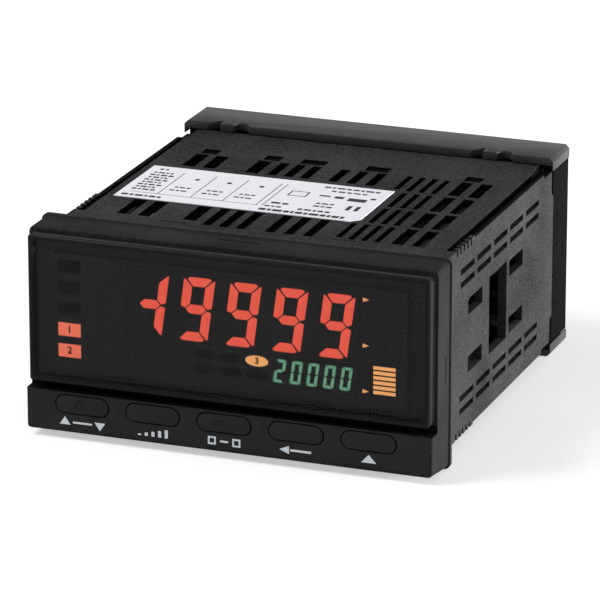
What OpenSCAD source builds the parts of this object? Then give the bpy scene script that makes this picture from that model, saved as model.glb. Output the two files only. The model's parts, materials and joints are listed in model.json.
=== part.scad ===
// Digital panel meter with a 96 x 48 mm front, made for a 92 x 45 mm panel cut-out.
// X runs to the right as seen from the front, Y to the rear and Z up, all in millimetres.
// The origin is the centre of the bezel's rear face, where the front of the panel lies.

/* [Bezel] */
// Width of the front bezel
bezel_w = 96; // [92:0.5:100]
// Height of the front bezel
bezel_h = 48; // [46:0.5:52]
// Depth of the front, from the panel to the face of the window
bezel_d = 10.7; // [10.2:0.1:13]
// How far the bezel reaches past the case at each side
bezel_lap_x = 2.5; // [2.3:0.1:3]
// How far the bezel reaches past the case at its top and bottom
bezel_lap_z = 1.8; // [1.6:0.1:2.2]
// Radius of the bezel's four corners
bezel_corner_r = 1.6; // [0.5:0.1:3]
// How much lower the top and bottom are at the front than at the rear
bezel_draft = 0.6; // [0:0.1:1]
// Rounding of the bezel's front edge
bezel_edge_r = 0.6; // [0.4:0.1:1.4]
// Thickness of the bezel's front plate
bezel_plate = 2; // [1.2:0.1:2.4]
// Thickness of the bezel's outer wall, from its top to its inner room
bezel_wall = 4.6; // [3:0.1:5]
// Length of the slots that a screwdriver lifts the front by
pry_slot_l = 9.6; // [4:0.1:14]
// Width of the pry slots
pry_slot_w = 0.5; // [0.3:0.1:1]
// Depth of the pry slots
pry_slot_depth = 0.9; // [0.4:0.1:1.2]
// Distance of the pry slots from the bezel's rear face
pry_slot_y = 2.4; // [1:0.1:4]

/* [Window] */
// Distance from the bezel's top to the window
window_drop = 1.1; // [1:0.1:1.6]
// Distance from the bezel's sides to the window
window_margin = 0.7; // [0.4:0.1:1.5]
// Thickness of the window's clear plate
window_t = 1.4; // [1:0.1:1.6]
// Depth of the window's rim, front to rear
window_rim_d = 3.2; // [2.6:0.1:3.6]
// Width of the window's rim
window_rim_w = 1.2; // [0.8:0.1:1.6]
// Rounding of the window's front edge
window_edge_r = 0.8; // [0.3:0.1:1]
// Radius of the window's corners
window_corner_r = 1.4; // [0.5:0.1:3]
// Height of the groove between the window and the keys
groove_h = 1.7; // [1:0.1:2]

/* [Keys] */
// Height of the strip below the groove, which holds the keys
key_zone_h = 10.8; // [10.6:0.1:11.4]
// Number of keys
key_count = 5; // [3:1:5]
// Length of a key
key_w = 12.5; // [8:0.1:13]
// Height of a key
key_h = 4; // [3.4:0.1:4.2]
// Distance from the bezel's left side to the middle of the first key
key_margin_l = 13.5; // [12:0.1:15]
// Distance from the bezel's right side to the middle of the last key
key_margin_r = 14.7; // [12:0.1:15]
// Distance from the groove to the middle of the keys
key_drop = 2.8; // [2.7:0.1:3.2]
// How far a key goes in
key_travel = 0.5; // [0.2:0.05:0.6]
// How far a key stands out of the key panel
key_proud = 0.15; // [0:0.05:0.4]
// Gap round a key
key_gap = 0.3; // [0.3:0.05:0.4]
// Thickness of the flange that keeps a key in
key_flange_t = 0.8; // [0.6:0.1:1]
// How far the flange reaches past the key
key_flange_w = 0.6; // [0.4:0.1:0.7]
// Gap between the flange and the front
key_flange_gap = 0.05; // [0.05:0.05:0.2]
// How much thicker the front is behind the keys than at the window
key_plate_extra = 0.6; // [0.4:0.1:0.8]
// How much room the flanges have above and below
key_room = 0.4; // [0.3:0.05:0.5]
// Thickness of the key panel
key_panel_t = 1; // [0.6:0.1:1.4]
// Distance from the groove to the key panel
key_panel_gap = 0.15; // [0.1:0.05:0.3]
// Distance from the key panel to the bezel's bottom
key_panel_rim = 2.05; // [1.8:0.05:2.4]
// Side of a push switch's square body
switch_w = 6; // [5:0.1:6.2]
// Depth of a push switch's body
switch_d = 3.05; // [3:0.05:3.4]
// Diameter of a push switch's plunger
plunger_d = 3.5; // [2:0.1:4]
// Length of the plunger that stands out of its switch
plunger_l = 1; // [0.8:0.1:1.2]
// Length of the plunger inside its switch
plunger_in = 1.4; // [1:0.1:1.6]
// Gap round the plunger and behind it
plunger_gap = 0.3; // [0.2:0.05:0.4]

/* [Display] */
// Distance from the window's sides to the block that keeps the lights apart
shade_side = 5.8; // [5:0.1:8]
// Distance from the window's top to that block
shade_drop = 4.2; // [4:0.1:5]
// Distance from the window's bottom to that block
shade_rise = 3.2; // [3:0.1:4]
// Gap between the window's plate and that block
shade_gap = 0.1; // [0.05:0.05:0.3]
// Gap round that block
shade_room = 0.3; // [0.1:0.05:0.3]
// Depth of the light inserts in their openings
insert_d = 2; // [1:0.5:4]
// Distance from the block's left side to the large digits' module
module_left = 17.5; // [16:0.1:19]
// Distance from the block's right side to that module
module_right = 10.9; // [10.5:0.1:12]
// Distance from the block's bottom to that module
module_rise = 9.3; // [9.2:0.1:10]
// Distance from the block's top to that module
module_drop = 0.9; // [0.6:0.1:2]
// Border of that module above and below its digits
module_edge = 1; // [0.6:0.1:1.4]
// Border of that module at the ends of its row of digits, both together
module_pad = 0.25; // [0.2:0.05:1]
// Gap between two large digits
digit_space = 3.57; // [3.2:0.01:4.5]
// Width of a large digit's strokes
digit_stroke = 2.1; // [1.4:0.1:2.2]
// Lean of all digits, in degrees
digit_lean = 8; // [0:1:10]
// Height of the small digits
small_digit_h = 5.4; // [4.6:0.1:5.6]
// Width of a small digit, without its lean
small_digit_w = 2.45; // [2:0.05:2.6]
// Width of a small digit's strokes
small_digit_stroke = 0.7; // [0.5:0.05:0.8]
// Distance from small digit to small digit
small_digit_pitch = 3.86; // [3.6:0.02:4]
// Border of the small digits' module, both sides together
small_pad_x = 0.6; // [0.4:0.1:1]
// Border of the small digits' module, top and bottom together
small_pad_z = 0.9; // [0.6:0.1:1]
// Distance from the block's right side to the small digits' module
small_right = 11.75; // [11.5:0.05:12.5]
// Distance from the block's bottom to the middle of the small digits
small_rise = 5.8; // [5.4:0.1:5.9]
// Gap between a module and its opening
module_gap = 0.1; // [0.05:0.05:0.15]
// Width of an alarm lamp
alarm_w = 5.4; // [4:0.1:6]
// Height of an alarm lamp
alarm_h = 3.1; // [2.4:0.1:3.4]
// Distance from the block's left side to the middle of the alarm lamps
alarm_edge = 3.7; // [3.4:0.1:8]
// Distance from the block's top to the middle of the top alarm lamp
alarm_drop = 2.8; // [2:0.1:3.4]
// Distance from the block's bottom to the middle of the bottom alarm lamp
alarm_rise = 4.52; // [3:0.01:5]
// Width of an oval status lamp
status_w = 5.4; // [4:0.1:5.6]
// Height of an oval status lamp
status_h = 2.5; // [2:0.1:2.8]
// Distance between status lamps, side by side
status_pitch_x = 6.15; // [5.9:0.05:6.4]
// Distance between status lamps, one above the other
status_pitch_z = 3.3; // [3:0.1:3.4]
// Gap between the last status lamp and the small digits' module
status_gap = 0.45; // [0.2:0.05:1]
// Distance from the block's bottom to the middle of the upper status lamps
status_rise = 7.45; // [7:0.05:7.5]
// Width of a bar of the bar meter
bar_w = 5.15; // [4:0.05:5.5]
// Height of a bar of the bar meter
bar_h = 0.78; // [0.5:0.02:0.9]
// Distance from bar to bar
bar_pitch = 1.13; // [1:0.01:1.2]
// Distance from the block's right side to the middle of the bars
bar_edge = 5.1; // [4:0.1:5.4]
// Distance from the block's bottom to the middle of the lowest bar
bar_rise = 3.55; // [2:0.05:5]
// Width of a pointer lamp
pointer_w = 1.5; // [1:0.1:1.8]
// Height of a pointer lamp
pointer_h = 1; // [0.8:0.1:1.4]
// Distance from the block's right side to the middle of the pointer lamps
pointer_edge = 9.4; // [9.2:0.1:9.6]
// Distance from the block's top to the middle of the top pointer lamp
pointer_drop = 2.5; // [2:0.1:4]
// Distance from the block's bottom to the middle of the lowest pointer lamp
pointer_rise = 3.5; // [2:0.1:4]

/* [Case] */
// Depth of the case behind the panel, without the terminals
case_d = 81; // [78:0.5:90]
// Wall of the case
case_wall = 2; // [1.9:0.1:2.4]
// How far the case's side walls reach past its rear edge at mid height
case_tongue = 1.4; // [0.2:0.1:2]
// Height of that part of the side walls
case_tongue_h = 30; // [20:1:32]
// Thickness of the panel gasket
gasket_t = 1.5; // [1:0.1:2]
// How far the gasket's lip stands out past the bezel
gasket_proud = 0.4; // [0.2:0.1:0.6]
// How far the lip stands out past the gasket's body
gasket_lip = 0.5; // [0.2:0.1:0.6]
// Gap between the gasket and the case
gasket_gap = 0.1; // [0.1:0.05:0.3]

/* [Vents] */
// First row of slots in the top, from the panel
top_row_y = 12.7; // [12.5:0.1:13.5]
// Distance from the last row of slots in the top to the case's rear edge
top_row_end = 18.9; // [18:0.1:21]
// Width of the ribs between the rows of slots in the top
top_rib = 1.4; // [1:0.1:3]
// First slot in the sides, from the panel
side_slot_y = 15; // [14:0.1:16]
// Distance from the last slot in the sides to the case's rear edge
side_slot_end = 9.7; // [9:0.1:12]
// Width of the ribs between the slots in the sides
side_rib = 1.95; // [1.2:0.05:3]
// Height of the slots in the sides
side_slot_h = 1.4; // [1:0.1:1.7]
// Distance from the case's top to the outer row of slots in the sides
side_row_drop = 5.9; // [5.4:0.1:6.2]
// Distance from the outer to the inner row of slots in the sides
side_row_pitch = 3; // [2.6:0.1:3.2]
// Length of the shallow recesses in the top, front to rear
recess_l = 3.8; // [2:0.1:4.4]
// Depth of the shallow recesses in the top
recess_depth = 0.6; // [0.3:0.1:1]
// Distance from the recesses to the case's rear edge
recess_end = 14.4; // [10:0.1:14.6]
// Width of the thin catch slots near the front of the top
catch_w = 0.5; // [0.3:0.1:0.8]
// Depth of the catch slots
catch_depth = 0.8; // [0.4:0.1:1.2]
// Diameter of the round ejector marks near the rear of the top
ejector_d = 1.6; // [1:0.1:3]
// Depth of the ejector marks
ejector_depth = 0.1; // [0.05:0.05:0.3]
// Distance from the ejector marks to the case's rear edge
ejector_end = 6.9; // [6:0.1:8]

/* [Ratchet] */
// Width of the corner slots that the clips run in
track_w = 1.5; // [1.3:0.1:1.7]
// Depth of the corner slots
track_depth = 1.4; // [1.1:0.1:1.5]
// Depth of the corner slots across the teeth
track_shallow = 0.8; // [0.7:0.1:0.9]
// Front end of the corner slots, from the panel
track_y0 = 24.6; // [24:0.1:26]
// Distance from the rear end of the corner slots to the case's rear edge
track_end = 6.1; // [5:0.1:8]
// Thickness of the rail outside the corner slot
rail_t = 1.1; // [0.8:0.1:1.2]
// How much lower the rail is than the top
rail_drop = 0.5; // [0:0.1:0.7]
// How far the open corner behind the rail reaches in from the slot
relief_gap = 0.3; // [0.2:0.1:0.6]
// Number of ratchet notches on each corner
notch_count = 5; // [3:1:5]
// First notch, from the panel
notch_y = 12.2; // [11.8:0.1:13]
// Distance from notch to notch
notch_pitch = 2.35; // [2.1:0.05:2.4]
// Width of a notch, along the case
notch_w = 0.95; // [0.6:0.05:1.1]
// Depth of a notch
notch_depth = 1.3; // [1:0.1:1.4]
// How far a notch reaches down the side, below the rail
notch_side = 1.1; // [0.8:0.1:1.6]

/* [Clips] */
// Depth of a mounting clip, front to rear
clip_d = 12.6; // [12:0.1:14]
// Thickness of a mounting clip
clip_t = 1.9; // [1.6:0.1:2.6]
// How far a mounting clip reaches past the case's sides
clip_lap = 0.5; // [0.4:0.1:0.8]
// Gap between the case's sides and the lips at a clip's ends
clip_lip_gap = 0.1; // [0.1:0.05:0.2]
// How far the lips reach below the case's top
clip_lip_drop = 1; // [0.5:0.1:1.4]
// How far a mounting clip reaches over the case's rear edge
clip_over = 0.6; // [0.2:0.1:1]
// Chamfer at the ends of a clip
clip_chamfer = 0.9; // [0.4:0.1:1]
// Gap between the case and a clip
clip_gap = 0.2; // [0.1:0.05:0.4]
// Thinnest panel that the clips hold
panel_t_min = 1; // [1:0.5:3]
// Height of the feet that run in the corner slots
clip_foot_z = 0.8; // [0.6:0.05:0.95]
// Length of the feet
clip_foot_l = 3; // [2:0.1:4]
// Thickness of the feet
clip_foot_t = 0.7; // [0.5:0.05:0.7]
// Gap between a foot and the side of its slot
clip_foot_gap = 0.3; // [0.2:0.05:0.3]
// Length of the spring cut-outs in a clip's front edge
spring_l = 10.6; // [8:0.1:12]
// Depth of the spring cut-outs
spring_cut = 2.8; // [1:0.1:3]
// Distance from a clip's left end to its first spring
spring_left = 6; // [4:0.1:12]
// Distance from a clip's right end to its second spring
spring_right = 20.5; // [16:0.1:24]

/* [Terminals] */
// Number of terminal blocks side by side
block_count = 6; // [5:1:6]
// Terminals in each block
terminal_count = 6; // [4:1:6]
// Depth of the terminal blocks
block_d = 13.2; // [12:0.1:14]
// Gap between two terminal blocks
block_gap = 0.2; // [0.1:0.05:0.4]
// Gap between the outer blocks and the case's sides
block_side = 0.3; // [0.1:0.05:0.6]
// How far the blocks stay below the case's top
block_edge = 0.66; // [0.1:0.01:0.8]
// Depth of a terminal's pocket
pocket_d = 3.6; // [3:0.1:3.8]
// Wall at each side of a pocket
pocket_wall = 1.2; // [0.8:0.1:1.6]
// Thickness of the barriers between terminals
barrier_t = 1; // [0.8:0.1:1.4]
// How far the outer blocks' end plates stay inside the case's sides
end_plate_side = 0.1; // [0.1:0.05:0.5]
// Gap between the case's rearmost edge and the end plates
end_plate_gap = 0.1; // [0.1:0.05:0.4]
// Number of short ridges on an end plate
ridge_count = 4; // [2:1:4]
// How far the ridges stand out
ridge_out = 0.3; // [0.2:0.1:0.6]
// Thickness of the ridges
ridge_t = 0.6; // [0.4:0.1:1]
// Length of the ridges, front to rear
ridge_l = 4; // [2:0.1:5]
// How far the row of ridges sits above the middle, less half a pitch
ridge_shift = 1.9; // [0:0.1:2]
// Gap between a terminal screw's head and the barriers
screw_gap = 0.29; // [0.1:0.01:0.8]
// Height of a terminal screw's head
screw_head_h = 2; // [1.6:0.1:2.2]
// Width of the cross slot in a screw's head
screw_slot_w = 0.7; // [0.5:0.1:1]
// Depth of that slot
screw_slot_d = 0.8; // [0.4:0.1:1]
// Diameter of a terminal screw's thread
screw_d = 3; // [2.6:0.1:3]
// Length of a terminal screw's thread
screw_l = 6; // [4:0.5:7]
// Gap round a screw's thread in its block
thread_gap = 0.2; // [0.1:0.05:0.3]
// Thickness of the terminal plates
plate_t = 0.8; // [0.6:0.1:1]
// Gap round a terminal plate
plate_gap = 0.2; // [0.1:0.05:0.4]

/* [Boards] */
// Thickness of the circuit boards
board_t = 1.6; // [1:0.1:1.6]
// Front of the main board, from the panel
main_board_y = 6; // [5:0.5:8]
// Gap between the boards and the case
board_gap = 0.6; // [0.4:0.1:0.8]
// How much lower the upright boards are than the main board
upright_drop = 1; // [0.5:0.1:2]
// Depth of the connectors on the main board
connector_d = 5; // [4:0.5:6]
// Width of the connectors on the main board
connector_w = 6; // [5:0.5:7]
// Height of the connectors on the main board
connector_h = 28; // [20:0.5:30]
// Width of the connectors behind the display
display_connector_w = 24; // [16:0.5:30]
// Height of the connectors behind the display
display_connector_h = 6; // [4:0.5:8]
// Side of the processor
processor_w = 14; // [10:0.5:14]
// Thickness of the processor
processor_t = 1.6; // [1:0.1:2]
// Distance from the front of the upright boards to the first part on them
part_y = 11.4; // [10:0.1:14]
// Length of the shield over the input
shield_l = 30; // [20:0.5:34]
// Height of the shield
shield_h = 26; // [20:0.5:28]
// Thickness of the shield
shield_t = 5; // [4:0.5:6]
// Height of a relay above its board
relay_t = 10; // [8:0.5:10]
// Length of a relay, front to rear
relay_l = 13; // [10:0.5:14]
// Height of a relay
relay_h = 15; // [12:0.5:15]
// Gap between the two rows of relays
relay_gap = 2; // [1:0.5:3]
// Distance from the last relay or capacitor to the terminal blocks
part_end = 8; // [7:0.5:12]
// Length of the transformer's core, front to rear
core_l = 28; // [20:0.5:30]
// Height of the transformer's core
core_h = 31; // [24:0.5:31]
// Thickness of the transformer's core
core_t = 14; // [10:0.5:14]
// Thickness of the transformer's winding, and the height of its windows
winding_t = 5; // [3:0.5:6]
// Diameter of a capacitor
capacitor_d = 11; // [8:0.5:12]
// Gap between the capacitors and the case
capacitor_gap = 1.9; // [1:0.1:4]

/* [Label] */
// Width of the type label
label_w = 59; // [50:0.5:62]
// Depth of the type label
label_d = 25; // [20:0.5:28]
// Thickness of the type label
label_t = 0.15; // [0.1:0.05:0.2]
// Cut corner of the type label
label_cut = 2.2; // [0.5:0.1:4]
// Distance from the case's left side to the type label
label_left = 4.5; // [1:0.1:8]
// Distance from the panel to the type label
label_y = 24.3; // [24:0.1:28]

/* [Hidden] */
$fn = 48;
eps = 0.01;

// Front
front_y = -bezel_d;
window_seat_y = front_y + window_rim_d;
window_top = bezel_h / 2 - window_drop;
key_zone_top = -bezel_h / 2 + key_zone_h;
groove_top = key_zone_top + groove_h;
window_h = window_top - groove_top;
window_z = window_top - window_h / 2;
window_w = bezel_w - 2 * window_margin;
room_w = bezel_w - 2 * bezel_wall;
room_h = bezel_h - 2 * bezel_wall;
key_panel_h = key_zone_h - key_panel_gap - key_panel_rim;
key_panel_z = key_zone_top - key_panel_gap - key_panel_h / 2;
key_panel_w = bezel_w - 2 * bezel_edge_r;
key_pitch = (bezel_w - key_margin_l - key_margin_r) / (key_count - 1);
key_row_z = key_zone_top - key_drop;

// Stack behind the keys
key_plate_rear = window_seat_y + key_plate_extra;
key_flange_y = key_plate_rear + key_flange_gap;
plunger_y = key_flange_y + key_flange_t;
switch_y = plunger_y + plunger_l;
display_board_y = switch_y + switch_d;

// Display: the block that keeps the lights apart, and the two modules of digits in it
shade_y = front_y + window_t + shade_gap;
shade_r = window_w / 2 - shade_side;
shade_top = window_top - shade_drop;
shade_bottom = groove_top + shade_rise;
digit_count = 5;
main_x0 = -shade_r + module_left;
main_x1 = shade_r - module_right;
main_z0 = shade_bottom + module_rise;
main_z1 = shade_top - module_drop;
main_mid = [(main_x0 + main_x1) / 2, (main_z0 + main_z1) / 2];
digit_h = main_z1 - main_z0 - 2 * module_edge;
digit_pitch = (main_x1 - main_x0 - module_pad) / digit_count;
digit_w = digit_pitch - digit_space;
small_w = small_digit_pitch * digit_count + small_pad_x;
small_h = small_digit_h + small_pad_z;
small_mid = [shade_r - small_right - small_w / 2, shade_bottom + small_rise];
main_reading = ["bcg", "abcdfg", "abcdfg", "abcdfg", "abcdfg"];
small_reading = ["abdeg", "abcdef", "abcdef", "abcdef", "abcdef"];

// Lamps beside the digits
alarm_lamps = 5;
alarm_lamps_lit_from = 3;
alarm_x = -shade_r + alarm_edge;
alarm_z = shade_top - alarm_drop;
alarm_pitch = (shade_top - shade_bottom - alarm_drop - alarm_rise) / (alarm_lamps - 1);
status_columns = 3;
status_x = small_mid[0] - small_w / 2 - status_gap - status_w / 2 - (status_columns - 1) * status_pitch_x;
status_z = shade_bottom + status_rise;
bar_count = 6;
bar_x = shade_r - bar_edge;
bar_z = shade_bottom + bar_rise;
pointer_count = 3;
pointer_x = shade_r - pointer_edge;
pointer_z = shade_top - pointer_drop;
pointer_pitch = (shade_top - shade_bottom - pointer_drop - pointer_rise) / (pointer_count - 1);

// Case
case_w = bezel_w - 2 * bezel_lap_x;
case_h = bezel_h - 2 * bezel_lap_z;
inner_w = case_w - 2 * case_wall;
inner_h = case_h - 2 * case_wall;
track_y1 = case_d - track_end;
track_x = case_w / 2 - rail_t - track_w;
rail_z = case_h / 2 - rail_drop;

// Slot patterns are written for the standard case and stretched to the real one
across = case_w / 91;
along = case_d / 81;
upright = case_h / 44.4;
// Slots in the top: left end, number, width, distance, whether in all rows, shift of the first
// row's front ends and of the last row's front ends
top_groups = [
    [-35.55, 2, 3.3, 5.05, false, -0.2, 1.2],
    [-19.95, 1, 3.4, 0, false, 0.4, 1.2],
    [-14.45, 3, 2.4, 4, false, -1.7, 1.1],
    [0.5, 3, 2.4, 4.5, false, -1.7, 1.1],
    [16.7, 1, 1.5, 0, false, 0.2, 0.7],
    [19.8, 3, 1.5, 2.98, true, -0.4, 0],
    [29.8, 2, 2.9, 4.8, true, -0.4, 0.3]
];
top_rows = 4;
top_row_pitch = (case_d - top_row_y - top_row_end + top_rib) / top_rows;
top_slot_l = top_row_pitch - top_rib;
// Shallow recesses in the top: left end and width
recesses = [[-35, 4.1], [-19.5, 4.2], [-10.4, 6.2], [5.5, 5.9], [29.7, 4.3]];
// Catch slots: left end, length and distance from the panel
catch_slots = [[-23.8, 6.3, 10.4], [16.7, 5.6, 11]];
ejector_marks = [-36.1, -20.2, -4.6, 11.1];
side_slots = 5;
side_slot_pitch = (case_d - side_slot_y - side_slot_end + side_rib) / side_slots;
side_slot_l = side_slot_pitch - side_rib;
side_row_z = case_h / 2 - side_row_drop;
// Larger openings in the sides: start, length, distance from the middle, height
side_windows = [[20.4, 10, 4.9, 3.8], [49.7, 10, 4.9, 3.8]];
// Tall opening in the sides: start, length, height
side_tall = [35.3, 12.6, 18.4];

// Clips
clip_w = case_w + 2 * clip_lap;
clip_y = case_d - clip_over;
clip_z = case_h / 2 + clip_gap;
clip_travel = clip_y - gasket_t - panel_t_min;
track_front = clip_y + clip_d - clip_foot_l - clip_travel - clip_foot_gap;

// Terminals
block_w = (inner_w - 2 * block_side) / block_count;
block_h = case_h - 2 * block_edge;
terminal_pitch = block_h / terminal_count;
pocket_w = block_w - block_gap - 2 * pocket_wall;
pocket_h = terminal_pitch - barrier_t;
screw_head_d = pocket_h - 2 * screw_gap;
plate_y = case_d + block_d - pocket_d;

// Boards
board_front_y = main_board_y + board_t;
upright_y = board_front_y + connector_d;
upright_h = inner_h - 2 * board_gap - 2 * upright_drop;
board_x = [-2 * block_w, 0, 2 * block_w];
parts_y = upright_y + part_y;
relays = 3;
relay_pitch = (case_d - parts_y - relay_l - part_end) / (relays - 1);
capacitor_count = 4;
capacitor_pitch = (case_d - parts_y - capacitor_d - part_end) / (capacitor_count - 1);
capacitor_l = inner_w / 2 - board_x[2] - board_t / 2 - capacitor_gap;

// ---- Shapes ----

function arc(c, r, a0, a1, n = 6) =
    [for (i = [0:n]) c + r * [cos(a0 + (a1 - a0) * i / n), sin(a0 + (a1 - a0) * i / n)]];

module rounded_rect(w, h, r) {
    square([w - 2 * r, h], center = true);
    square([w, h - 2 * r], center = true);
    for (x = [-1, 1], z = [-1, 1])
        translate([x * (w / 2 - r), z * (h / 2 - r)]) circle(r);
}

module obround(w, h) {
    square([w - h, h], center = true);
    for (x = [-1, 1])
        translate([x * (w - h) / 2, 0]) circle(d = h);
}

// An XZ outline, solid from y0 to y1
module along_y(y0, y1)
    translate([0, y1, 0]) rotate([90, 0, 0]) linear_extrude(y1 - y0) children();

// A YZ outline, solid over the width w
module along_x(w)
    rotate([90, 0, 90]) linear_extrude(w, center = true) children();

// An XY outline, solid over the height h
module along_z(h)
    linear_extrude(h, center = true) children();

module box(x0, x1, y0, y1, z0, z1)
    translate([x0, y0, z0]) cube([x1 - x0, y1 - y0, z1 - z0]);

module rectangle(x0, x1, z0, z1)
    translate([x0, z0]) square([x1 - x0, z1 - z0]);

// A rod along Y from y0
module rod(d, y0, l)
    translate([0, y0, 0]) rotate([-90, 0, 0]) cylinder(d = d, h = l);

// Side outline of a front moulding: flat at the rear, rounded at its front edge
module front_profile(y0, y1, half0, half1, r)
    polygon(concat(
        [[y1, -half1]],
        arc([y0 + r, -half0 + r], r, 270, 180),
        arc([y0 + r, half0 - r], r, 180, 90),
        [[y1, half1]]
    ));

// ---- Front ----

module key_place(i)
    translate([(key_margin_l - key_margin_r) / 2 + (i - (key_count - 1) / 2) * key_pitch, 0, key_row_z])
        children();

module key_places()
    for (i = [0 : key_count - 1]) key_place(i) children();

module key_holes()
    key_places() along_y(front_y - 1, 0) obround(key_w + 2 * key_gap, key_h + 2 * key_gap);

module pry_slots() {
    y1 = -pry_slot_y;
    for (z = [-1, 1]) translate([0, 0, z * bezel_h / 2])
        box(-pry_slot_l / 2, pry_slot_l / 2, y1 - pry_slot_w, y1, -pry_slot_depth, pry_slot_depth);
    for (x = [-1, 1]) translate([x * bezel_w / 2, 0, 0])
        box(-pry_slot_depth, pry_slot_depth, y1 + 0.8 * pry_slot_w - pry_slot_w, y1 + 0.8 * pry_slot_w,
            -pry_slot_l * 0.36, pry_slot_l * 0.3);
}

module front_bezel() color([0.17, 0.17, 0.18]) difference() {
    intersection() {
        along_y(front_y, 0) rounded_rect(bezel_w, bezel_h, bezel_corner_r);
        along_x(bezel_w) front_profile(front_y, 0, bezel_h / 2 - bezel_draft, bezel_h / 2, bezel_edge_r);
        along_z(bezel_h) rotate([0, 0, 90]) mirror([0, 1, 0])
            front_profile(front_y, 0, bezel_w / 2, bezel_w / 2, bezel_edge_r);
    }
    // Step that the window sits on
    box(-bezel_w, bezel_w, front_y - 1, window_seat_y, key_zone_top, bezel_h);
    // Opening for the display
    along_y(front_y, 0)
        rectangle(-shade_r - shade_room, shade_r + shade_room,
            shade_bottom - shade_room, shade_top + shade_room);
    // Room for the display board
    along_y(window_seat_y + bezel_plate, eps) square([room_w, room_h], center = true);
    // Bed for the key panel
    translate([0, 0, key_panel_z]) along_y(front_y - 1, front_y + key_panel_t)
        rounded_rect(key_panel_w, key_panel_h, bezel_edge_r / 2);
    // Room behind the keys
    translate([0, 0, key_row_z]) along_y(key_plate_rear, 0)
        square([room_w - 2 * key_flange_w, key_h + 2 * key_flange_w + 2 * key_room], center = true);
    key_holes();
    pry_slots();
}

module display_window() color([0.07, 0.07, 0.08]) translate([0, 0, window_z]) difference() {
    intersection() {
        along_y(front_y, window_seat_y) rounded_rect(window_w, window_h, window_corner_r);
        along_x(window_w) front_profile(front_y, window_seat_y, window_h / 2, window_h / 2, window_edge_r);
        along_z(window_h) rotate([0, 0, 90]) mirror([0, 1, 0])
            front_profile(front_y, window_seat_y, window_w / 2, window_w / 2, window_edge_r);
    }
    along_y(front_y + window_t, window_seat_y + 1)
        rounded_rect(window_w - 2 * window_rim_w, window_h - 2 * window_rim_w, window_rim_w / 2);
}

module key_panel() color([0.12, 0.12, 0.13]) difference() {
    translate([0, 0, key_panel_z]) along_y(front_y, front_y + key_panel_t)
        rounded_rect(key_panel_w, key_panel_h, bezel_edge_r / 2);
    key_holes();
}

module key(i) color([0.13, 0.13, 0.14]) key_place(i) {
    along_y(front_y - key_proud, key_flange_y) obround(key_w, key_h);
    along_y(key_flange_y, plunger_y) obround(key_w + 2 * key_flange_w, key_h + 2 * key_flange_w);
}

module switch_plunger(i) color([0.75, 0.72, 0.66]) key_place(i)
    rod(plunger_d, plunger_y, plunger_l + plunger_in);

module switch_bodies() color([0.25, 0.25, 0.26]) key_places() difference() {
    box(-switch_w / 2, switch_w / 2, switch_y, display_board_y, -switch_w / 2, switch_w / 2);
    rod(plunger_d + 2 * plunger_gap, switch_y - plunger_l, plunger_l + plunger_in + key_travel + plunger_gap);
}

// ---- Display ----

// One stroke of a digit w wide and h high, with stroke width t; its points lean to the right
function stroke(s, w, h, t) = let (
        x = w / 2, z = h / 2, g = t * 0.09, m = t / 2,
        right_top = [[x, z - g - 0.1 * t], [x, m * 0.35 + g], [x - m, g], [x - t, m + g],
            [x - t, z - t - g], [x - 0.25 * t, z - 0.25 * t - g]],
        top = [[-x + 0.3 * t + g, z - 0.3 * t + g], [-x + t * 0.55 + g, z], [x - t * 0.55 - g, z],
            [x - 0.3 * t - g, z - 0.3 * t + g], [x - t - g, z - t], [-x + t + g, z - t]],
        mid = [[-x + m + g, 0], [-x + t + g, m], [x - t - g, m], [x - m - g, 0],
            [x - t - g, -m], [-x + t + g, -m]]
    )
    s == "a" ? top :
    s == "b" ? right_top :
    s == "c" ? [for (p = right_top) [p[0], -p[1]]] :
    s == "d" ? [for (p = top) [p[0], -p[1]]] :
    s == "e" ? [for (p = right_top) [-p[0], -p[1]]] :
    s == "f" ? [for (p = right_top) [-p[0], p[1]]] : mid;

module digit(strokes, w, h, t)
    for (s = strokes)
        polygon([for (p = stroke(s, w, h, t)) [p[0] + tan(digit_lean) * p[1], p[1]]]);

module reading(strokes, w, h, t, pitch)
    for (i = [0 : digit_count - 1])
        translate([(i - (digit_count - 1) / 2) * pitch, 0]) digit(strokes[i], w, h, t);

module main_reading_outline()
    translate(main_mid) reading(main_reading, digit_w, digit_h, digit_stroke, digit_pitch);

module small_reading_outline()
    translate(small_mid)
        reading(small_reading, small_digit_w, small_digit_h, small_digit_stroke, small_digit_pitch);

module main_module_outline(extra = 0)
    rectangle(main_x0 - extra, main_x1 + extra, main_z0 - extra, main_z1 + extra);

module small_module_outline(extra = 0)
    translate(small_mid) square([small_w + 2 * extra, small_h + 2 * extra], center = true);

module alarm_outline(first, last)
    for (i = [first : last])
        translate([alarm_x, alarm_z - i * alarm_pitch]) square([alarm_w, alarm_h], center = true);

module status_outline(lit)
    for (c = [0 : status_columns - 1], r = [0, 1])
        if ((c == status_columns - 1 && r == 0) == lit)
            translate([status_x + c * status_pitch_x, status_z - r * status_pitch_z])
                polygon([for (a = [0 : 15 : 345]) [status_w / 2 * cos(a), status_h / 2 * sin(a)]]);

module pointer_outline()
    for (i = [0 : pointer_count - 1])
        translate([pointer_x, pointer_z - i * pointer_pitch])
            polygon([[-pointer_w / 2, -pointer_h / 2], [pointer_w / 2, 0], [-pointer_w / 2, pointer_h / 2]]);

module bar_outline()
    for (i = [0 : bar_count - 1])
        translate([bar_x, bar_z + i * bar_pitch]) square([bar_w, bar_h], center = true);

module insert_depth() along_y(shade_y, shade_y + insert_d) children();

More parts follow.
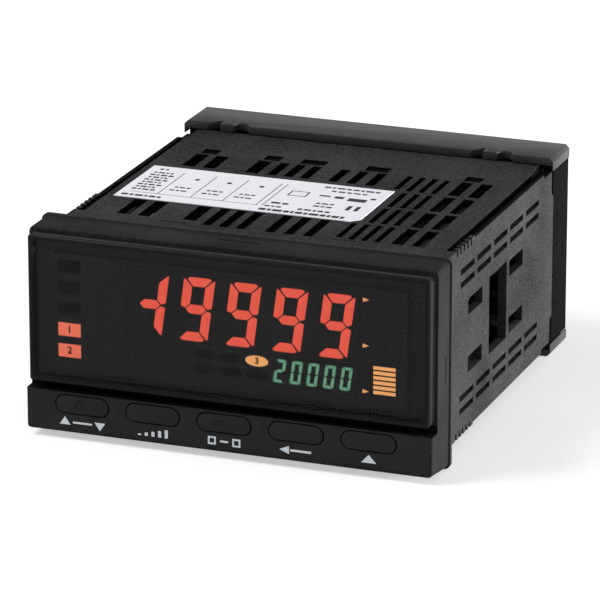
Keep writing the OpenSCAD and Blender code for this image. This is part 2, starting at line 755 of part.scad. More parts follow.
module light_shade() color([0.06, 0.06, 0.06]) difference() {
    along_y(shade_y, display_board_y) rectangle(-shade_r, shade_r, shade_bottom, shade_top);
    along_y(shade_y - 1, display_board_y + 1) {
        main_module_outline(module_gap);
        small_module_outline(module_gap);
    }
    along_y(shade_y - 1, shade_y + insert_d) {
        alarm_outline(0, alarm_lamps - 1);
        status_outline(true);
        status_outline(false);
        pointer_outline();
        bar_outline();
    }
}

module main_digit_module() color([0.08, 0.08, 0.08]) difference() {
    along_y(shade_y, display_board_y) main_module_outline();
    along_y(shade_y - 1, shade_y + insert_d) main_reading_outline();
}

module small_digit_module() color([0.08, 0.08, 0.08]) difference() {
    along_y(shade_y, display_board_y) small_module_outline();
    along_y(shade_y - 1, shade_y + insert_d) small_reading_outline();
}

module main_digit_segments() color([0.95, 0.25, 0.18]) insert_depth() main_reading_outline();
module small_digit_segments() color([0.35, 0.75, 0.5]) insert_depth() small_reading_outline();
module alarm_lamps_lit() color([0.95, 0.35, 0.22]) insert_depth()
    alarm_outline(alarm_lamps_lit_from, alarm_lamps - 1);
module alarm_lamps_dark() color([0.12, 0.1, 0.1]) insert_depth() alarm_outline(0, alarm_lamps_lit_from - 1);
module status_lamp_lit() color([0.98, 0.6, 0.2]) insert_depth() status_outline(true);
module status_lamps_dark() color([0.12, 0.1, 0.1]) insert_depth() status_outline(false);
module pointer_lamps() color([0.98, 0.7, 0.4]) insert_depth() pointer_outline();
module bar_lamps() color([0.98, 0.7, 0.4]) insert_depth() bar_outline();

module display_board() color([0.1, 0.3, 0.2])
    along_y(display_board_y, display_board_y + board_t)
        square([room_w - 2 * board_gap, room_h - 2 * board_gap], center = true);

// ---- Case ----

module panel_gasket() color([0.05, 0.05, 0.05]) difference() {
    w = bezel_w + 2 * gasket_proud;
    h = bezel_h + 2 * gasket_proud;
    union() {
        along_y(0, gasket_t) rounded_rect(w - 2 * gasket_lip, h - 2 * gasket_lip, bezel_corner_r);
        along_y(gasket_t / 5, gasket_t) rounded_rect(w, h, bezel_corner_r);
    }
    along_y(-1, gasket_t + 1) square([case_w + 2 * gasket_gap, case_h + 2 * gasket_gap], center = true);
}

module top_slots()
    for (g = top_groups, i = [0 : g[1] - 1], r = [0 : top_rows - 1])
        if (g[4] || r == 0 || r == top_rows - 1) {
            x = (g[0] + i * g[3]) * across;
            y = top_row_y + r * top_row_pitch;
            shift = (r == 0 ? g[5] : r == top_rows - 1 ? g[6] : 0) * along;
            box(x, x + g[2] * across, y + shift, y + top_slot_l, case_h / 2 - 2 * case_wall, case_h);
        }

module side_openings() {
    for (i = [0 : side_slots - 1], r = [0, 1], s = [-1, 1])
        translate([0, side_slot_y + i * side_slot_pitch, s * (side_row_z - r * side_row_pitch)])
            box(-case_w, case_w, 0, side_slot_l, -side_slot_h / 2, side_slot_h / 2);
    for (w = side_windows, s = [0, 1]) mirror([0, 0, s])
        box(-case_w, case_w, w[0] * along, (w[0] + w[1]) * along, w[2] * upright, (w[2] + w[3]) * upright);
    box(-case_w, case_w, side_tall[0] * along, (side_tall[0] + side_tall[1]) * along,
        -side_tall[2] / 2 * upright, side_tall[2] / 2 * upright);
}

// Cuts in the upper right corner that a clip's foot and teeth use
module corner_cuts() {
    box(track_x, track_x + track_w, track_y0, track_y1 + 1, case_h / 2 - track_depth, case_h);
    box(track_x, track_x + track_w, track_front, track_y1, case_h / 2 - track_shallow, case_h);
    // The rail outside the slot is lower than the top
    box(track_x + track_w / 2, case_w, track_y0, case_d, rail_z, case_h);
    // The corner is open behind the rail
    box(track_x - relief_gap, case_w, track_y1, case_d + case_tongue + 1, case_h / 2 - track_depth, case_h);
    for (i = [0 : notch_count - 1]) difference() {
        box(track_x, case_w, notch_y + i * notch_pitch, notch_y + i * notch_pitch + notch_w,
            rail_z - notch_side, case_h);
        box(0, case_w / 2 - notch_depth, 0, case_d, 0, case_h / 2 - notch_depth);
    }
}

// Vented case, open at its front and rear, with ratchet teeth and a slot along each corner
module case_shell() color([0.27, 0.27, 0.28]) difference() {
    union() {
        along_y(0, case_d) square([case_w, case_h], center = true);
        for (x = [0, 1]) mirror([x, 0, 0])
            box(case_w / 2 - case_wall, case_w / 2, case_d - 1, case_d + case_tongue,
                -case_tongue_h / 2, case_tongue_h / 2);
    }
    along_y(-1, case_d + case_tongue + 1) square([inner_w, inner_h], center = true);
    top_slots();
    mirror([0, 0, 1]) top_slots();
    side_openings();
    for (x = [0, 1], z = [0, 1]) mirror([x, 0, 0]) mirror([0, 0, z]) corner_cuts();
    translate([0, case_d - recess_end - recess_l, case_h / 2 - recess_depth])
        for (r = recesses) box(r[0] * across, (r[0] + r[1]) * across, 0, recess_l, 0, case_h);
    for (c = catch_slots)
        box(c[0] * across, (c[0] + c[1]) * across, c[2] * along, c[2] * along + catch_w,
            case_h / 2 - catch_depth, case_h);
    for (x = ejector_marks)
        translate([x * across, case_d - ejector_end, case_h / 2 - ejector_depth])
            cylinder(d = ejector_d, h = case_wall);
}

module type_label() color([0.92, 0.92, 0.93])
    translate([-case_w / 2 + label_left, label_y, case_h / 2]) linear_extrude(label_t)
        polygon([[0, 0], [label_w - label_cut, 0], [label_w, label_cut], [label_w, label_d], [0, label_d]]);

// ---- Mounting clips ----

// Front edge of a clip: each spring is a ramp, a step and a round dip
function spring_edge(x) = concat(
    [[x, clip_y], [x + 0.3 * spring_l, clip_y + spring_cut], [x + 0.3 * spring_l, clip_y],
        [x + 0.62 * spring_l, clip_y]],
    arc([x + 0.81 * spring_l, clip_y + 0.14 * spring_cut], spring_cut * 0.6, 170, 10),
    [[x + spring_l, clip_y]]
);

module clip() {
    half = clip_w / 2;
    inner = case_w / 2 + clip_lip_gap;
    lip = clip_gap + clip_lip_drop;
    c = clip_chamfer;
    intersection() {
        translate([0, 0, clip_z - lip]) linear_extrude(clip_t + lip)
            polygon(concat(
                [[-half, clip_y + clip_d], [-half, clip_y]],
                spring_edge(-half + spring_left),
                spring_edge(half - spring_right),
                [[half, clip_y], [half, clip_y + clip_d]]
            ));
        along_y(clip_y - 1, clip_y + clip_d + 1) translate([0, clip_z]) polygon([
            [-inner, 0], [-inner, -lip], [-half, -lip], [-half, clip_t - c], [-half + c, clip_t],
            [half - c, clip_t], [half, clip_t - c], [half, -lip], [inner, -lip], [inner, 0]
        ]);
    }
    for (s = [0, 1]) mirror([s, 0, 0])
        box(track_x + clip_foot_gap, track_x + clip_foot_gap + clip_foot_t,
            clip_y + clip_d - clip_foot_l, clip_y + clip_d, clip_z - clip_foot_z, clip_z + clip_t / 2);
}

module upper_mounting_clip() color([0.2, 0.2, 0.21]) clip();
module lower_mounting_clip() color([0.2, 0.2, 0.21]) mirror([0, 0, 1]) clip();

// ---- Terminals ----

function block_x(i) = (i - (block_count - 1) / 2) * block_w;
function terminal_z(j) = (j - (terminal_count - 1) / 2) * terminal_pitch;

module terminal_places()
    for (i = [0 : block_count - 1], j = [0 : terminal_count - 1])
        translate([block_x(i), plate_y, terminal_z(j)]) children();

module terminal_block(i) color([0.08, 0.08, 0.08]) translate([block_x(i), 0, 0]) {
    half = (block_w - block_gap) / 2;
    rear = case_d + block_d;
    difference() {
        box(-half, half, case_d, rear, -block_h / 2, block_h / 2);
        for (j = [0 : terminal_count - 1]) translate([0, 0, terminal_z(j)]) {
            box(-pocket_w / 2, pocket_w / 2, plate_y - plate_t, rear + 1, -pocket_h / 2, pocket_h / 2);
            rod(screw_d + 2 * thread_gap, plate_y - screw_l - thread_gap, screw_l);
        }
    }
    // The outer blocks have an end plate, level with the case's side, with short ridges on it
    if (i == 0 || i == block_count - 1) mirror([i == 0 ? 1 : 0, 0, 0]) {
        side = case_w / 2 - end_plate_side - block_x(block_count - 1);
        front = case_d + case_tongue + end_plate_gap;
        box(half - eps, side, front, rear, -block_h / 2, block_h / 2);
        for (j = [0 : ridge_count - 1])
            translate([side, front, ridge_shift + (j - ridge_count / 2) * terminal_pitch])
                box(-eps, ridge_out, 0, ridge_l, -ridge_t / 2, ridge_t / 2);
    }
}

module terminal_plates() color([0.72, 0.7, 0.62]) terminal_places() difference() {
    w = pocket_w / 2 - plate_gap;
    h = pocket_h / 2 - plate_gap;
    box(-w, w, -plate_t, 0, -h, h);
    rod(screw_d, -2 * plate_t, 3 * plate_t);
}

module terminal_screws() color([0.75, 0.74, 0.7]) terminal_places() difference() {
    union() {
        rod(screw_head_d, 0, screw_head_h);
        rod(screw_d, -screw_l, screw_l + eps);
    }
    for (a = [0, 90]) rotate([0, a, 0])
        box(-screw_head_d, screw_head_d, screw_head_h - screw_slot_d, screw_head_h + 1,
            -screw_slot_w / 2, screw_slot_w / 2);
}

// ---- Boards ----

module main_board() color([0.1, 0.3, 0.2])
    along_y(main_board_y, board_front_y)
        square([inner_w - 2 * board_gap, inner_h - 2 * board_gap], center = true);

module display_connectors() color([0.08, 0.08, 0.08])
    for (x = [-1, 1]) translate([x * display_connector_w, 0, 0])
        along_y(display_board_y + board_t, main_board_y)
            square([display_connector_w, display_connector_h], center = true);

module board_connectors() color([0.85, 0.83, 0.76])
    for (x = board_x) translate([x, 0, 0]) along_y(board_front_y, upright_y)
        square([connector_w, connector_h], center = true);

module upright_board(x) color([0.1, 0.3, 0.2])
    box(x - board_t / 2, x + board_t / 2, upright_y, case_d, -upright_h / 2, upright_h / 2);

module input_board() upright_board(board_x[0]);
module output_board() upright_board(board_x[1]);
module power_board() upright_board(board_x[2]);

module input_shield() color([0.7, 0.71, 0.73])
    translate([board_x[0] + board_t / 2, parts_y, -shield_h / 2]) cube([shield_t, shield_l, shield_h]);

module processor() color([0.07, 0.07, 0.07])
    translate([-block_w - processor_w / 2, board_front_y, -processor_w / 2])
        cube([processor_w, processor_t, processor_w]);

module output_relays() color([0.9, 0.55, 0.15])
    for (k = [0 : relays - 1], s = [0, 1]) mirror([0, 0, s])
        translate([board_x[1] + board_t / 2, parts_y + k * relay_pitch, relay_gap / 2])
            cube([relay_t, relay_l, relay_h]);

// Core of iron sheets with two windows, and the winding on its middle leg
module transformer() color([0.35, 0.33, 0.3]) translate([board_x[2] - board_t / 2, parts_y, 0]) {
    difference() {
        box(-core_t, 0, 0, core_l, -core_h / 2, core_h / 2);
        for (s = [-1, 1]) translate([0, 0, s * core_h * 0.29])
            box(-core_t - 1, -0.15 * core_t, -1, core_l + 1, -winding_t / 2, winding_t / 2);
    }
    box(-core_t * 1.04, -0.07 * core_t, -0.13 * core_l, 1.13 * core_l, -core_h * 0.19, core_h * 0.19);
}

module capacitors() color([0.12, 0.16, 0.3])
    for (k = [0 : capacitor_count - 1])
        translate([board_x[2] + board_t / 2, parts_y + capacitor_d / 2 + k * capacitor_pitch,
            (k % 2 == 0 ? 1 : -1) * 0.8 * capacitor_d])
            rotate([0, 90, 0]) cylinder(d = capacitor_d, h = capacitor_l);

front_bezel();
display_window();
key_panel();
key(0);  // key_1
key(1);  // key_2
key(2);  // key_3
key(3);  // key_4
key(4);  // key_5
switch_plunger(0);  // switch_plunger_1
switch_plunger(1);  // switch_plunger_2
switch_plunger(2);  // switch_plunger_3
switch_plunger(3);  // switch_plunger_4
switch_plunger(4);  // switch_plunger_5
switch_bodies();
display_board();
light_shade();
main_digit_module();
main_digit_segments();
small_digit_module();
small_digit_segments();
alarm_lamps_lit();
alarm_lamps_dark();
status_lamp_lit();
status_lamps_dark();
pointer_lamps();
bar_lamps();
panel_gasket();
case_shell();
type_label();
upper_mounting_clip();
lower_mounting_clip();
terminal_block(0);  // terminal_block_1
terminal_block(1);  // terminal_block_2
terminal_block(2);  // terminal_block_3
terminal_block(3);  // terminal_block_4
terminal_block(4);  // terminal_block_5
terminal_block(5);  // terminal_block_6
terminal_screws();
terminal_plates();
main_board();
display_connectors();
board_connectors();
input_board();
output_board();
power_board();
input_shield();
processor();
output_relays();
transformer();
capacitors();
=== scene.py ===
"""Looks of the digital panel meter: finishes, rounded edges, printed marks and fittings."""
import json
import math

import bmesh
import bpy
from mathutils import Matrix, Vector


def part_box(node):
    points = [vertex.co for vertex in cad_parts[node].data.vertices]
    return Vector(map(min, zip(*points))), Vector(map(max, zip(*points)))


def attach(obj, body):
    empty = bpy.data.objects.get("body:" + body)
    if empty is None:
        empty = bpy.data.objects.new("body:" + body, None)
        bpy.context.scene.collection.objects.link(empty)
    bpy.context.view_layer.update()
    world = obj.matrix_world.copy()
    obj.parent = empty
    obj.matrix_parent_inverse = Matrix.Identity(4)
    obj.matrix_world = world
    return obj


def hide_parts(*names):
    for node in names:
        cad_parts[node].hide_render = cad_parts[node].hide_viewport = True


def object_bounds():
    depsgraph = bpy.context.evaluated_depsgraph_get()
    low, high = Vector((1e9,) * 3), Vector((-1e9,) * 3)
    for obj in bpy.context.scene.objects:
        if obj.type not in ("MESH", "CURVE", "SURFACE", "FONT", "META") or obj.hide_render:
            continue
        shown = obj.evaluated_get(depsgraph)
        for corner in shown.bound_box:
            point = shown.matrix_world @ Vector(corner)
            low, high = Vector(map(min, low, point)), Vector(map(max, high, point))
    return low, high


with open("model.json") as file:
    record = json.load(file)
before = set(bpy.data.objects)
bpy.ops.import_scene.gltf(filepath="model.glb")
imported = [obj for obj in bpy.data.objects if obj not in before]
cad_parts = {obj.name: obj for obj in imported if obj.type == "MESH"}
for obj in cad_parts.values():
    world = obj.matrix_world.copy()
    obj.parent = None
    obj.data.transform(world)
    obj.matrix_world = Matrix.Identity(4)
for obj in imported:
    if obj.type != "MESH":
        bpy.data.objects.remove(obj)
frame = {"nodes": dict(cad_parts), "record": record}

MM = 0.001
SMOOTH_BELOW = math.radians(35)  # edges flatter than this are shaded as round
cad_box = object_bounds()

# ---- Camera ----

CAMERA_PLACE = (0.36678, -0.95046, 0.34793)
CAMERA_DOWN = math.radians(18.376)
CAMERA_TURN = math.radians(20.400)
CAMERA_LENS = 291.674
CAMERA_SENSOR = 36.0
CAMERA_NEAR, CAMERA_FAR = 0.05, 50

bpy.ops.object.select_all(action="DESELECT")
bpy.ops.object.camera_add(location=CAMERA_PLACE,
                          rotation=(math.pi / 2 - CAMERA_DOWN, 0, CAMERA_TURN))
camera = bpy.context.object
camera.name = "camera"
camera.data.lens = CAMERA_LENS
camera.data.sensor_width = CAMERA_SENSOR
camera.data.clip_start = CAMERA_NEAR
camera.data.clip_end = CAMERA_FAR
bpy.context.scene.camera = camera
bpy.context.scene.view_settings.view_transform = "Standard"


# ---- Tools for materials ----

def linear(code):
    """Turns an sRGB hex colour into the linear colour that shaders use."""
    shares = [int(code[i:i + 2], 16) / 255 for i in (1, 3, 5)]
    return tuple(s / 12.92 if s <= 0.04045 else ((s + 0.055) / 1.055) ** 2.4 for s in shares) + (1,)


def add(tree, kind, inputs=None, **settings):
    """Adds a node. Settings are its own options; an input takes a value or another node's
    output."""
    node = tree.nodes.new("ShaderNode" + kind)
    for name, value in settings.items():
        setattr(node, name, value)
    for name, value in (inputs or {}).items():
        if isinstance(value, bpy.types.NodeSocket):
            tree.links.new(value, node.inputs[name])
        else:
            node.inputs[name].default_value = value
    return node


def blank(name):
    """A new material with only its output; gives the tree and the output."""
    finish = bpy.data.materials.new(name)
    finish.use_nodes = True
    finish.node_tree.nodes.clear()
    return finish.node_tree, add(finish.node_tree, "OutputMaterial")


def show(tree, output, shader):
    tree.links.new(shader.outputs[0], output.inputs["Surface"])


def within(tree, value, low, high):
    """1 where the value lies between two places given in millimetres, 0 elsewhere."""
    above = add(tree, "Math", {0: value, 1: low * MM}, operation="GREATER_THAN")
    below = add(tree, "Math", {0: value, 1: high * MM}, operation="LESS_THAN")
    both = add(tree, "Math", {0: above.outputs[0], 1: below.outputs[0]}, operation="MULTIPLY")
    return both.outputs[0]


def inside(tree, place, *spans):
    """1 inside the spans of x, y and z in millimetres, 0 elsewhere. None leaves one open."""
    at = add(tree, "SeparateXYZ", {0: place})
    masks = [within(tree, at.outputs[axis], *span) for axis, span in enumerate(spans) if span]
    mask = masks[0]
    for other in masks[1:]:
        mask = add(tree, "Math", {0: mask, 1: other}, operation="MULTIPLY").outputs[0]
    return mask


def seen_directly(tree):
    """1 for what is seen straight, in a reflection or through the window, 0 for other rays."""
    ray = add(tree, "LightPath")
    seen = add(tree, "Math", {0: ray.outputs["Is Camera Ray"], 1: ray.outputs["Is Glossy Ray"]},
               operation="MAXIMUM")
    seen = add(tree, "Math", {0: seen.outputs[0], 1: ray.outputs["Is Transmission Ray"]},
               operation="MAXIMUM")
    return seen.outputs[0]


def moulded(name, dark, light, grit, relief, rough, shine=0.5, patch=18, flat_tones_and_painted_shade=()):
    """Plastic as it leaves a textured steel mould. The grit gives a fine speckle of light and dark,
    the patches are the slow change of tone where the melt flowed and cooled. The listed zones lose
    the
    texture for one even tone: the near black ones are painted shade, the others a plain flat tone."""
    tree, output = blank(name)
    place = add(tree, "TexCoord").outputs["Object"]
    specks = add(tree, "TexNoise", {"Vector": place, "Scale": 1 / (grit * MM), "Detail": 3,
                                    "Roughness": 0.7})
    flow = add(tree, "TexNoise", {"Vector": place, "Scale": 1 / (patch * MM), "Detail": 2})
    tone = add(tree, "Mix", {0: 0.25, 2: specks.outputs[0], 3: flow.outputs[0]})
    spread = add(tree, "MapRange", {"Value": tone.outputs[0], "From Min": 0.38, "From Max": 0.62})
    colour = add(tree, "Mix", {0: spread.outputs[0], 6: linear(dark), 7: linear(light)},
                 data_type="RGBA")
    for width, depth, height, tint in flat_tones_and_painted_shade:
        here = inside(tree, place, width, depth, height)
        colour = add(tree, "Mix", {0: here, 6: colour.outputs[2], 7: linear(tint)},
                     data_type="RGBA")
    gloss = add(tree, "MapRange", {"Value": specks.outputs[0], "From Min": 0.3, "From Max": 0.7,
                                   "To Min": rough - 0.06, "To Max": rough + 0.06})
    bump = add(tree, "Bump", {"Height": specks.outputs[0], "Distance": relief * MM, "Strength": 1})
    shader = add(tree, "BsdfPrincipled", {"Base Color": colour.outputs[2], "IOR": 1.5,
                                          "Roughness": gloss.outputs[0],
                                          "Normal": bump.outputs[0],
                                          "Specular IOR Level": shine})
    show(tree, output, shader)


# ---- Materials ----

# Places given one flat tone without the grit: spans of x, y and z in millimetres, and their tone
# Painted shade: the groove between the window and the keys, filled near black
GROOVE_PAINTED_SHADE = ((-60, 60), (-10.66, -7.4), (-13.21, -11.4), "#0a0a0a")
# The plate behind the window: the same flat tone as the light shade beside it
PLATE_BEHIND_WINDOW = ((-47, 47), (-7.6, -7.3), (-11.4, 22.8), "#323131")
# Painted shade: the walls of the openings in the top, filled near black
OPENING_WALLS_PAINTED_SHADE = ((-45.3, 45.3), (1, 81), (20.6, 22.08), "#0c0c0c")

# Matt black ABS of the front frame, from a finely spark-eroded mould: soft, slightly speckled
moulded("bezel_abs", "#1a1a1a", "#363637", grit=0.35, relief=0.03, rough=0.6, shine=0.02,
         flat_tones_and_painted_shade=[GROOVE_PAINTED_SHADE, PLATE_BEHIND_WINDOW])
# Dark grey flame-proof polycarbonate of the case: duller and a little paler than the front
moulded("case_polycarbonate", "#1d1d1d", "#49494a", grit=0.4, relief=0.04, rough=0.68, shine=0.012,
         flat_tones_and_painted_shade=[OPENING_WALLS_PAINTED_SHADE])
# Black sheet and keys under the display: smooth satin, almost no grain
moulded("key_satin_plastic", "#232222", "#282727", grit=0.5, relief=0.006, rough=0.5, shine=0.1)
# Smooth glass-filled nylon of the mounting clips: satin gloss that picks up a pale sky
moulded("clip_nylon", "#333335", "#3e3e40", grit=0.6, relief=0.01, rough=0.36, shine=0.1)
# Black polyester of the terminal blocks: dense, even black
moulded("terminal_polyester", "#131212", "#1a1918", grit=0.5, relief=0.008, rough=0.55, shine=0.0)
# Synthetic rubber of the panel gasket: a dull grey line round the front
moulded("gasket_rubber_sheet", "#323234", "#3c3c3e", grit=0.5, relief=0.02, rough=0.8, shine=0.03)
# Black polycarbonate that keeps the lamps apart: dull, so that the unlit display vanishes
moulded("light_shade_black", "#302f2f", "#333232", grit=0.4, relief=0.004, rough=0.8, shine=0.02)
# Unlit lamp windows: a shade darker than the block round them
moulded("unlit_lamp", "#0e0e0e", "#131313", grit=0.5, relief=0.004, rough=0.6, shine=0.02)
# Epoxy of chips and black connectors
moulded("epoxy_black", "#171718", "#202021", grit=0.3, relief=0.01, rough=0.6, shine=0.3)
# Natural nylon of the white board connectors: warm white with a soft gloss
moulded("connector_nylon", "#cfc9b8", "#ddd8c9", grit=0.8, relief=0.006, rough=0.45)
# Acetal of the switch plungers: waxy off-white
moulded("plunger_acetal", "#b9b3a4", "#c6c1b3", grit=0.8, relief=0.004, rough=0.4)
# Orange polyester of the relays' covers
moulded("relay_polyester", "#b96f1f", "#c97d2a", grit=0.5, relief=0.01, rough=0.4)
# Shrunk film round the capacitors: near black and shiny
moulded("capacitor_film", "#101218", "#161922", grit=2.5, relief=0.01, rough=0.3, shine=0.3)
# Varnished iron of the transformer's core
moulded("core_iron", "#3b3733", "#4a4540", grit=0.5, relief=0.03, rough=0.5)
# Satin polyester of the type label: clean, faintly uneven white
moulded("label_film", "#f0f0f7", "#f8f8ff", grit=1.5, relief=0.002, rough=0.45, shine=0.2)
# Screen print on the key sheet: a dense pale grey ink with a slightly uneven edge of tone
moulded("screen_ink_pale", "#dbe2e9", "#eef4fa", grit=0.4, relief=0.004, rough=0.55, shine=0.2)
# Thermal print on the type label: dark, a little patchy where the head ran light
moulded("label_ink_dark", "#17171c", "#2e2e35", grit=0.5, relief=0.002, rough=0.5, shine=0.1)
# Dark print on the lamp windows, its warm tint a painted glow from the lit lamp round it
moulded("lamp_ink_dark", "#140806", "#1c0c09", grit=0.5, relief=0.002, rough=0.6, shine=0.1)


def plated(name, dark, light, rough):
    """Nickel over steel: a metal with faint drag lines from rolling and a little clouding."""
    tree, output = blank(name)
    place = add(tree, "TexCoord").outputs["Object"]
    drag = add(tree, "Mapping", {"Vector": place, "Scale": (1, 1, 12)})
    lines = add(tree, "TexNoise", {"Vector": drag.outputs[0], "Scale": 1 / (0.8 * MM), "Detail": 2})
    clouds = add(tree, "TexNoise", {"Vector": place, "Scale": 1 / (3 * MM), "Detail": 2})
    colour = add(tree, "Mix", {0: clouds.outputs[0], 6: linear(dark), 7: linear(light)},
                 data_type="RGBA")
    gloss = add(tree, "MapRange", {"Value": lines.outputs[0], "To Min": rough - 0.08,
                                   "To Max": rough + 0.12})
    bump = add(tree, "Bump", {"Height": lines.outputs[0], "Distance": 0.008 * MM, "Strength": 1})
    shader = add(tree, "BsdfPrincipled", {"Base Color": colour.outputs[2], "Metallic": 1,
                                          "Roughness": gloss.outputs[0], "Normal": bump.outputs[0]})
    show(tree, output, shader)


plated("nickel_plate", "#b7b4ad", "#cbc8c1", rough=0.28)


def lamp(name, deep, bright, strength):
    """A lit diffuser: even light with a faint cloudiness of the plastic in front of the chip."""
    tree, output = blank(name)
    place = add(tree, "TexCoord").outputs["Object"]
    cloud = add(tree, "TexNoise", {"Vector": place, "Scale": 1 / (2.2 * MM), "Detail": 1})
    colour = add(tree, "Mix", {0: cloud.outputs[0], 6: linear(deep), 7: linear(bright)},
                 data_type="RGBA")
    shader = add(tree, "BsdfPrincipled", {"Base Color": (0.02, 0.02, 0.02, 1), "Roughness": 0.5,
                                          "Specular IOR Level": 0.2,
                                          "Emission Color": colour.outputs[2],
                                          "Emission Strength": strength})
    show(tree, output, shader)


WINDOW_GAIN = 1.58  # the lamps' strength, which makes up for the smoke in the window
lamp("lamp_red", "#e8503a", "#ee5e47", WINDOW_GAIN)
lamp("lamp_warm_red", "#e96a4c", "#ef7a5c", WINDOW_GAIN)
lamp("lamp_green", "#5f9a76", "#6ca581", WINDOW_GAIN)
lamp("lamp_orange", "#f0a055", "#f6b473", WINDOW_GAIN)

# Fibreglass board under green solder mask: darker where copper runs under the mask
tree, output = blank("board_green_mask")
place = add(tree, "TexCoord").outputs["Object"]
tracks = add(tree, "TexBrick", {"Vector": place, "Scale": 1 / (3 * MM), "Color1": linear("#0b1f15"),
                                "Color2": linear("#0e2519"), "Mortar": linear("#08160f"),
                                "Mortar Size": 0.12})
weave = add(tree, "TexNoise", {"Vector": place, "Scale": 1 / (0.6 * MM), "Detail": 2})
bump = add(tree, "Bump", {"Height": weave.outputs[0], "Distance": 0.01 * MM, "Strength": 1})
show(tree, output, add(tree, "BsdfPrincipled", {"Base Color": tracks.outputs[0], "Roughness": 0.35,
                                                "Normal": bump.outputs[0]}))

# The clear field of the window inside its rim, in mm
WINDOW_CLEAR_X = (-46.1, 46.1)
WINDOW_CLEAR_Z = (-10.2, 21.7)
# Smoked acrylic window: lamps shine through, everything behind it sinks to near black
tree, output = blank("window_smoked_acrylic")
place = add(tree, "TexCoord").outputs["Object"]
ripple = add(tree, "TexNoise", {"Vector": place, "Scale": 1 / (9 * MM), "Detail": 1})
bump = add(tree, "Bump", {"Height": ripple.outputs[0], "Distance": 0.01 * MM, "Strength": 1})
glass = add(tree, "BsdfPrincipled", {"Base Color": linear("#eeeef0"), "Roughness": 0.03,
                                     "IOR": 1.185,
                                     "Transmission Weight": 1, "Specular IOR Level": 0.5,
                                     "Normal": bump.outputs[0]})
through = add(tree, "BsdfTransparent", {"Color": linear("#e0e0e2")})
ray = add(tree, "LightPath")
# The rim that folds back round the plate is too deep to see through, so it's dark and closed
clear = inside(tree, place, WINDOW_CLEAR_X, None, WINDOW_CLEAR_Z)
rim = add(tree, "BsdfPrincipled", {"Base Color": linear("#1e1e1f"), "Roughness": 0.25, "IOR": 1.45,
                                   "Specular IOR Level": 0.06})
acrylic = add(tree, "MixShader", {0: clear, 1: rim.outputs[0], 2: glass.outputs[0]})
show(tree, output, add(tree, "MixShader", {0: ray.outputs["Is Shadow Ray"], 1: acrylic.outputs[0],
                                           2: through.outputs[0]}))
# The smoke is in the depth of the acrylic: the longer the way through it, the darker
smoke = add(tree, "VolumeAbsorption", {"Color": linear("#303032"), "Density": 300})
tree.links.new(smoke.outputs[0], output.inputs["Volume"])

FINISH = {
    "bezel_plastic": "bezel_abs", "window_plastic": "window_smoked_acrylic",
    "key_plastic": "key_satin_plastic", "case_plastic": "case_polycarbonate",
    "clip_plastic": "clip_nylon", "terminal_plastic": "terminal_polyester",
    "gasket_rubber": "gasket_rubber_sheet", "display_black": "light_shade_black",
    "red_light": "lamp_red", "green_light": "lamp_green", "orange_light": "lamp_orange",
    "dark_lamp": "unlit_lamp", "label_paper": "label_film", "plated_steel": "nickel_plate",
    "circuit_board": "board_green_mask", "board_parts_black": "epoxy_black",
    "connector_white": "connector_nylon", "plunger_plastic": "plunger_acetal",
    "relay_orange": "relay_polyester", "transformer_core": "core_iron",
    "capacitor_sleeve": "capacitor_film",
}
for name, node in frame["nodes"].items():
    for place in node.material_slots:
        place.material = bpy.data.materials[FINISH[place.material.name]]
warm_lamps = frame["nodes"]["alarm_lamps_lit"]
warm_lamps.material_slots[0].material = bpy.data.materials["lamp_warm_red"]

# ---- Hand tools for the pieces ----

def only(piece):
    """Makes the piece the active one, with nothing else selected."""
    bpy.ops.object.select_all(action="DESELECT")
    bpy.context.view_layer.objects.active = piece
    piece.select_set(True)


def start(kind, **settings):
    """Adds one primitive with nothing else selected, and gives its object."""
    bpy.ops.object.select_all(action="DESELECT")
    getattr(bpy.ops.mesh, "primitive_" + kind + "_add")(**settings)
    return bpy.context.object


def pick(piece, test):
    """In edit mode on the piece, selects the faces whose centre and normal pass the test."""
    only(piece)
    bpy.ops.object.mode_set(mode="EDIT")
    bpy.ops.mesh.select_mode(type="FACE")
    cage = bmesh.from_edit_mesh(piece.data)
    for face in cage.faces:
        face.select_set(test(face.calc_center_median(), face.normal))
    bmesh.update_edit_mesh(piece.data)


def leave():
    bpy.ops.object.mode_set(mode="OBJECT")


def gather(pieces, name, finish, body="housing"):
    """Joins pieces into one that rides on a body, with its place in its mesh."""
    bpy.ops.object.select_all(action="DESELECT")
    for piece in pieces:
        piece.select_set(True)
    bpy.context.view_layer.objects.active = pieces[0]
    if len(pieces) > 1:
        bpy.ops.object.join()
    whole = bpy.context.object
    bpy.ops.object.transform_apply(location=True, rotation=True, scale=True)
    whole.name = name
    whole.data.materials.clear()
    whole.data.materials.append(bpy.data.materials[finish])
    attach(whole, body)
    return whole


# ---- Rounded edges on the moulded pieces ----

BODY_OF = {}
for name, body in frame["record"]["behaviour"]["bodies"].items():
    for node in body.get("nodes", []) if isinstance(body, dict) else body:
        BODY_OF[node] = name


WELD = 0.002 * MM  # points closer than this are one
FLAT_BELOW = math.radians(0.3)  # faces that meet flatter than this are one face
SHARP_ABOVE = math.radians(30)  # edges sharper than this are eased


